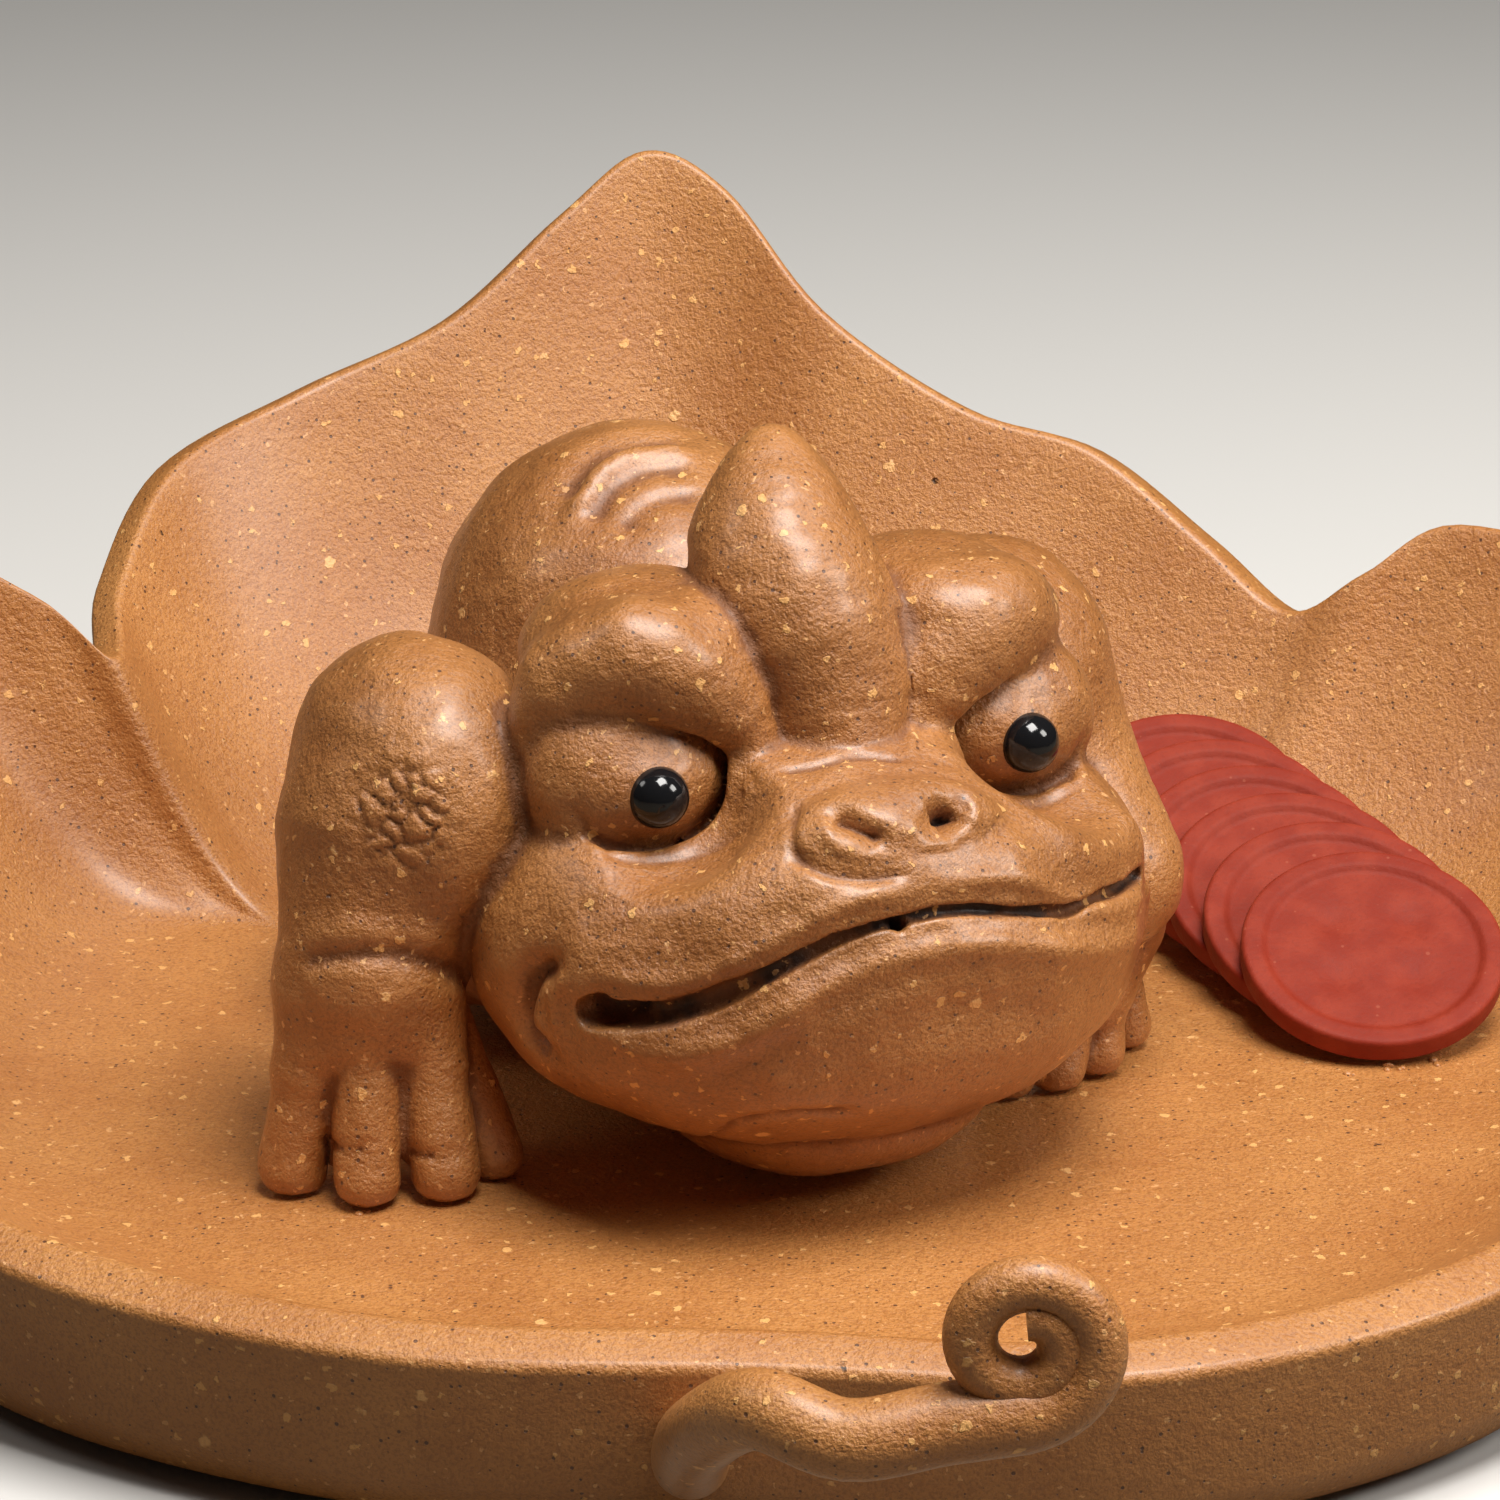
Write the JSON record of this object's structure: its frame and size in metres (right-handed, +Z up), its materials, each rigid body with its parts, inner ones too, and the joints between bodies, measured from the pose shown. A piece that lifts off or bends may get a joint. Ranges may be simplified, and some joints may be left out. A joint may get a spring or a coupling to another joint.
{
  "type": "tea pet",
  "caption": "Clay ornament for a tea tray: a horned toad crouching on a leaf-shaped dish with a curled stalk, beside a row of red coins.",
  "frame": {"origin": "on the table under the middle of the ornament's box", "axes": "+Z up, +Y towards the leaf's tip, the toad looks towards -Y"},
  "size_m": [0.1334, 0.1432, 0.0522],
  "materials": {
    "dish_clay": "fired speckled clay, satin, stands in as matte plastic",
    "toad_clay": "fired speckled clay, satin, stands in as matte plastic",
    "black_bead": "glossy black glaze",
    "red_clay": "fired red clay, matt"
  },
  "bodies": {
    "root": {"leaf_dish": "dish_clay", "toad": "toad_clay", "eye_left": "black_bead", "eye_right": "black_bead", "coin_1": "red_clay", "coin_2": "red_clay", "coin_3": "red_clay", "coin_4": "red_clay", "coin_5": "red_clay", "coin_6": "red_clay"}
  },
  "joints": []
}
